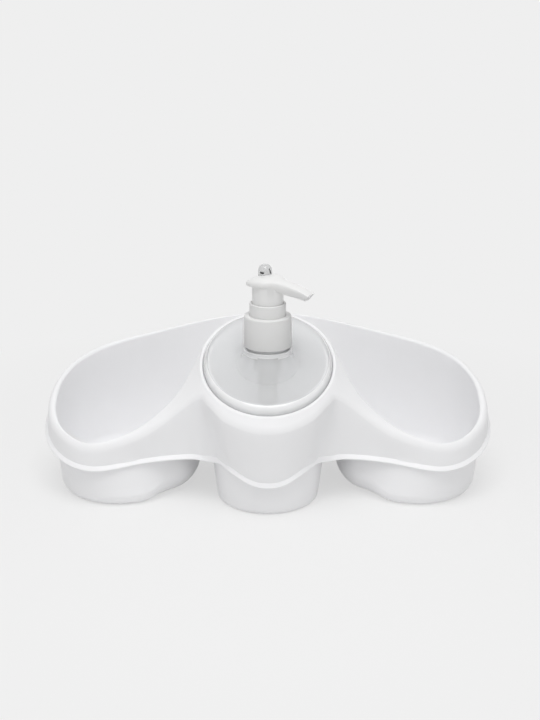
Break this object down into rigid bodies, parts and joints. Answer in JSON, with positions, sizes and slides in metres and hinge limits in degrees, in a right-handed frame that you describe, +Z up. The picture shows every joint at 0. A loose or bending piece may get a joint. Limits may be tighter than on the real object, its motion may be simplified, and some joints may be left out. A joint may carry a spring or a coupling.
{
  "type": "soap pump caddy",
  "caption": "Moulded counter caddy with a deep tapering basin on each side of a round well that holds a clear refillable bottle with a press-down soap pump.",
  "frame": {"origin": "middle of the overall box at the level of the feet, on the surface that the caddy stands on", "axes": "+X along the caddy's length to the right of someone facing its front, +Y to its back, +Z up"},
  "size_m": [0.3, 0.1484, 0.1574],
  "materials": {
    "body_white": "glossy moulded, faint flow marks",
    "bottle_clear": "clear, thin walled",
    "pump_white": "satin moulded",
    "pump_natural": "natural, slightly milky",
    "tube_natural": "translucent, milky",
    "gasket_grey": "soft foam",
    "spring_steel": "bright drawn",
    "knob_clear": "clear, polished"
  },
  "bodies": {
    "caddy": {"caddy_body": "body_white"},
    "bottle": {"bottle": "bottle_clear"},
    "pump": {"pump_housing": "pump_natural", "lock_ring": "pump_white", "neck_gasket": "gasket_grey", "dip_tube": "tube_natural", "return_spring": "spring_steel"},
    "closure": {"closure": "pump_white"},
    "plunger": {"stem": "pump_natural", "valve_rod": "pump_natural"},
    "piston": {"piston": "tube_natural"},
    "head": {"pump_head": "pump_white", "head_knob": "knob_clear"},
    "inlet_ball": {"inlet_ball": "spring_steel"}
  },
  "joints": [
    {"name": "bottle_lift", "type": "slide", "parent": "caddy", "child": "bottle", "axis": [0, 0, 1], "range_m": [0, 0.125]},
    {"name": "pump_lift", "type": "slide", "parent": "bottle", "child": "pump", "axis": [0, 0, 1], "range_m": [0, 0.125]},
    {"name": "closure_turn", "type": "hinge", "parent": "pump", "child": "closure", "pos_m": [0, -0.02825, 0.115], "axis": [0, 0, 1], "continuous": true},
    {"name": "head_press", "type": "slide", "parent": "pump", "child": "plunger", "axis": [0, 0, -1], "range_m": [0, 0.007], "stiffness_N_per_m": 300, "springref_m": -0.006, "deforming": ["return_spring"]},
    {"name": "piston_float", "type": "slide", "parent": "plunger", "child": "piston", "axis": [0, 0, 1], "range_m": [0, 0.0009]},
    {"name": "head_turn", "type": "hinge", "parent": "plunger", "child": "head", "pos_m": [0, -0.02825, 0.14], "axis": [0, 0, 1], "continuous": true},
    {"name": "ball_lift", "type": "slide", "parent": "pump", "child": "inlet_ball", "axis": [0, 0, 1], "range_m": [0, 0.0013]}
  ]
}
